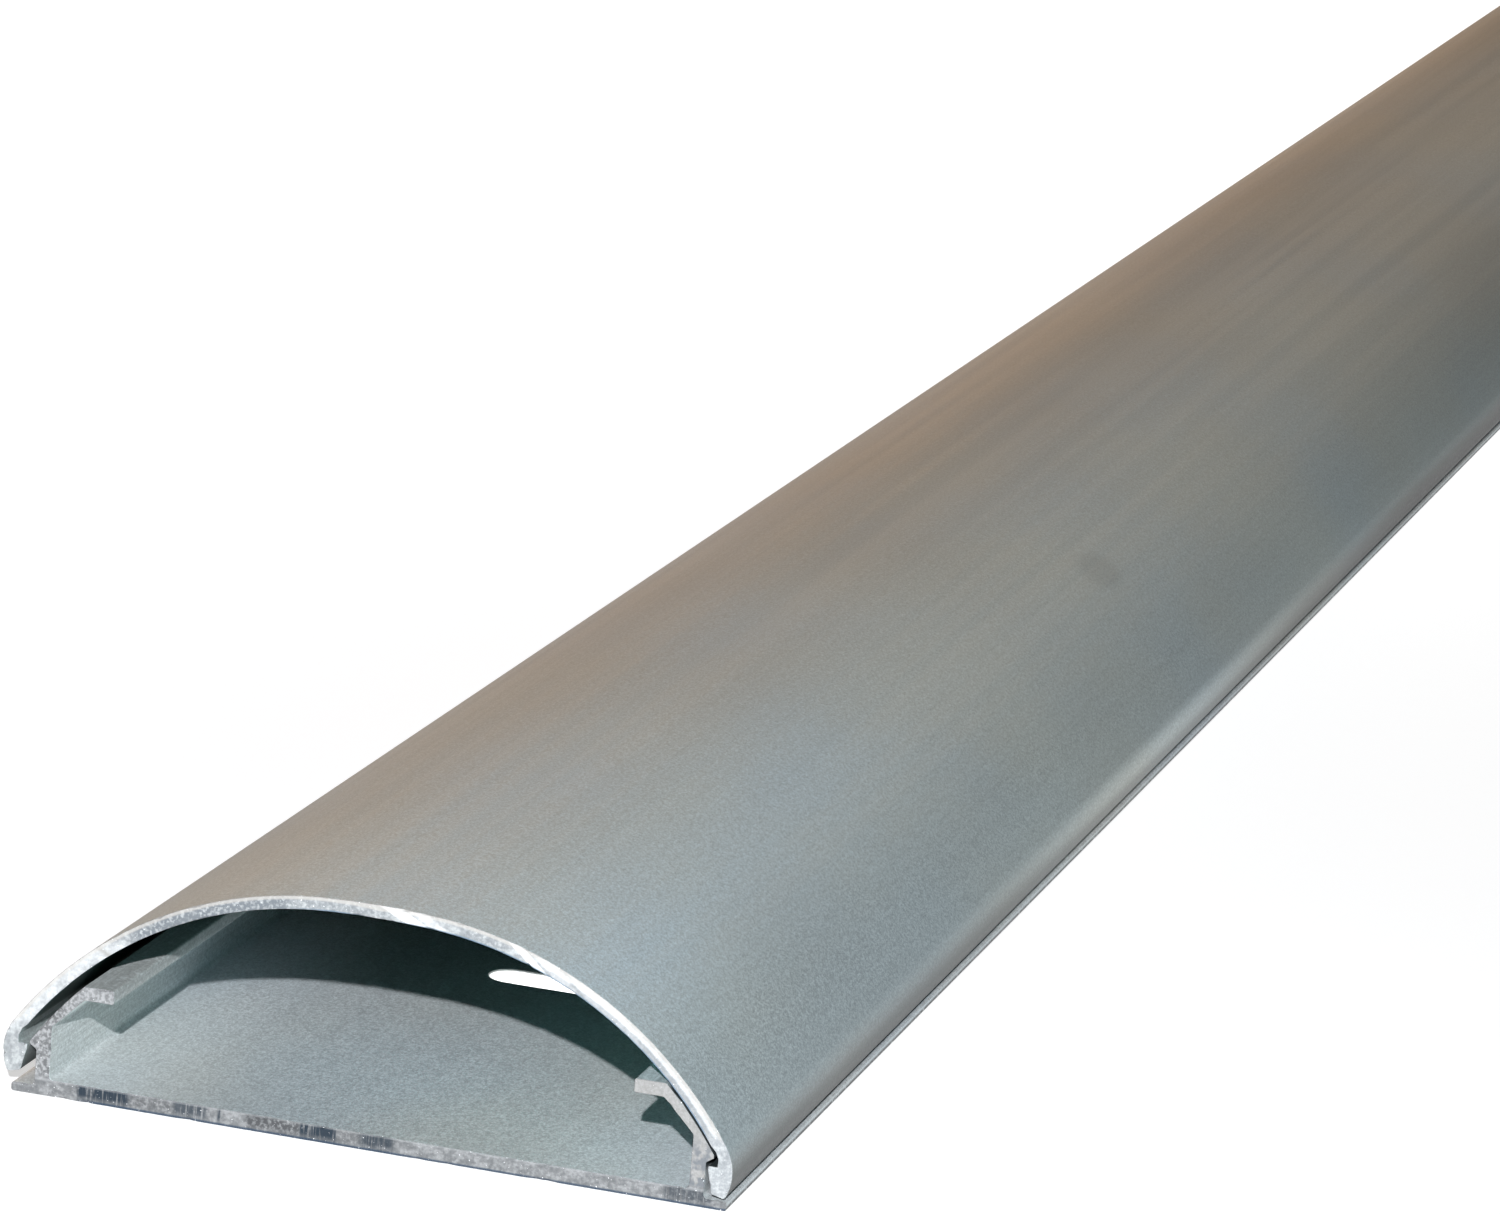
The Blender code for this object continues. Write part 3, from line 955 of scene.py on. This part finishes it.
def area(name, place, look_at, size, power, colour, shape="SQUARE"):
    light = bpy.data.lights.new(name, "AREA")
    light.shape = shape
    light.size = size
    light.energy = power
    light.color = colour
    obj = bpy.data.objects.new(name, light)
    obj.location = place
    aim = Vector(look_at) - Vector(place)
    obj.rotation_euler = aim.to_track_quat("-Z", "Y").to_euler()
    bpy.context.scene.collection.objects.link(obj)
    return obj


def beyond_floor():
    """Grey that only the camera sees past the floor's edge. It lights nothing."""
    world = bpy.data.worlds.new("studio")
    world.use_nodes = True
    background = world.node_tree.nodes["Background"]
    background.inputs["Color"].default_value = BEYOND_GREY
    seen = world.node_tree.nodes.new("ShaderNodeLightPath").outputs["Is Camera Ray"]
    world.node_tree.links.new(seen, background.inputs["Strength"])
    bpy.context.scene.world = world


def paper(name):
    """Pale paper that gives off light, as the photograph's background was cut out to white."""
    material = bpy.data.materials.new(name)
    n = Nodes(material)
    n.surface("Base Color", PAPER_GREY)
    n.surface("Emission Color", WHITE)
    n.surface("Roughness", 0.9)
    n.surface("Specular IOR Level", 0.1)
    away = n.plus(n.axis("Y"), n.times(n.axis("X"), -0.5))
    glow = n.ramp(away, *FLOOR_GLOW_REACH, *FLOOR_GLOW)
    slot_y = SLOT_END_DISTANCE - HALF_LENGTH
    across = [(-SLOT_GLOW_HALF_WIDTH, SLOT_GLOW_HALF_WIDTH, 1.0, 0.5)]
    along = [(slot_y - SLOT_GLOW_HALF_LENGTH, slot_y + SLOT_GLOW_HALF_LENGTH, SLOT_GLOW, 0.5)]
    under_slot = n.times(n.windows(n.axis("X"), across), n.windows(n.axis("Y"), along))
    n.surface("Emission Strength", n.plus(glow, under_slot))
    return material


def floor():
    mesh = bpy.data.meshes.new("floor")
    bm = bmesh.new()
    bmesh.ops.create_grid(bm, x_segments=8, y_segments=8, size=FLOOR_HALF_SIDE)
    bm.to_mesh(mesh)
    bm.free()
    obj = bpy.data.objects.new("floor", mesh)
    obj.location = (0.0, 0.0, -FLOOR_DROP)
    bpy.context.scene.collection.objects.link(obj)
    mesh.materials.append(paper("paper_floor"))


def lights():
    aim = Vector(KEY_AIM)
    place = aim - Vector(KEY_TRAVEL) * KEY_DISTANCE
    area("key_light", place, aim, KEY_SIZE, KEY_POWER, KEY_COLOUR, "DISK")
    for light in SOFT_LIGHTS:
        area(*light)


def camera():
    data = bpy.data.cameras.new("camera")
    data.sensor_fit = "HORIZONTAL"
    data.sensor_width = CAMERA_SENSOR
    data.lens = CAMERA_LENS
    data.clip_start, data.clip_end = CAMERA_CLIP
    obj = bpy.data.objects.new("camera", data)
    right = Vector(CAMERA_RIGHT)
    up = Vector(CAMERA_UP)
    back = right.cross(up).normalized()
    turn = Matrix((right, up, back)).transposed().to_4x4()
    obj.matrix_world = Matrix.Translation(CAMERA_PLACE) @ turn
    bpy.context.scene.collection.objects.link(obj)
    bpy.context.scene.camera = obj


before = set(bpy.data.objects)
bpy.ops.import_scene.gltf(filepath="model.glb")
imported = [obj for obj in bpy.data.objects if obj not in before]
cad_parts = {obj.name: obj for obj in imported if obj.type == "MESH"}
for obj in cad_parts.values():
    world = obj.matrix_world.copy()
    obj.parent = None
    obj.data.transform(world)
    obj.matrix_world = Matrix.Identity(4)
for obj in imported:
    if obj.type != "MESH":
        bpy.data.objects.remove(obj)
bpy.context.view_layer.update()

bpy.context.scene.view_settings.view_transform = "Standard"
camera()
beyond_floor()
floor()
lights()

rail_skin = rail_finish("rail_aluminium", RAIL_LIGHT, RAIL_DARK)
cover_skin = cover_finish("cover_aluminium_satin", COVER_LIGHT, COVER_DARK)
rail_cut = rail_sawn("rail_cut_aluminium", PLATE_CUT_LIGHT, PLATE_CUT_MID, [
    (PLATE_DULL, PLATE_DULL_COLOUR, "mottle", 0.0),
    (PLATE_TEETH, PLATE_TEETH_COLOUR, "teeth", 0.0),
])
cover_cut = cover_sawn("cover_cut_aluminium", COVER_CUT_LIGHT, COVER_CUT_MID, [
    (COVER_DULL, COVER_DULL_COLOUR, "mottle", 0.0),
    (COVER_BRIGHT, BRIGHT_METAL, "flat", 2.0),
    (COVER_NOTCH, COVER_NOTCH_COLOUR, "flat", 1.0),
])

rail = stock("rail_dressed", base_outline(), 3, rail_skin, rail_cut)
cut_slots(rail, punched("slot_walls"))
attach(rail, "root")
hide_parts("base_rail")

cover = stock("cover_dressed", cover_outline(), 11, cover_skin, cover_cut)
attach(cover, "root")
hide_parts("snap_cover")
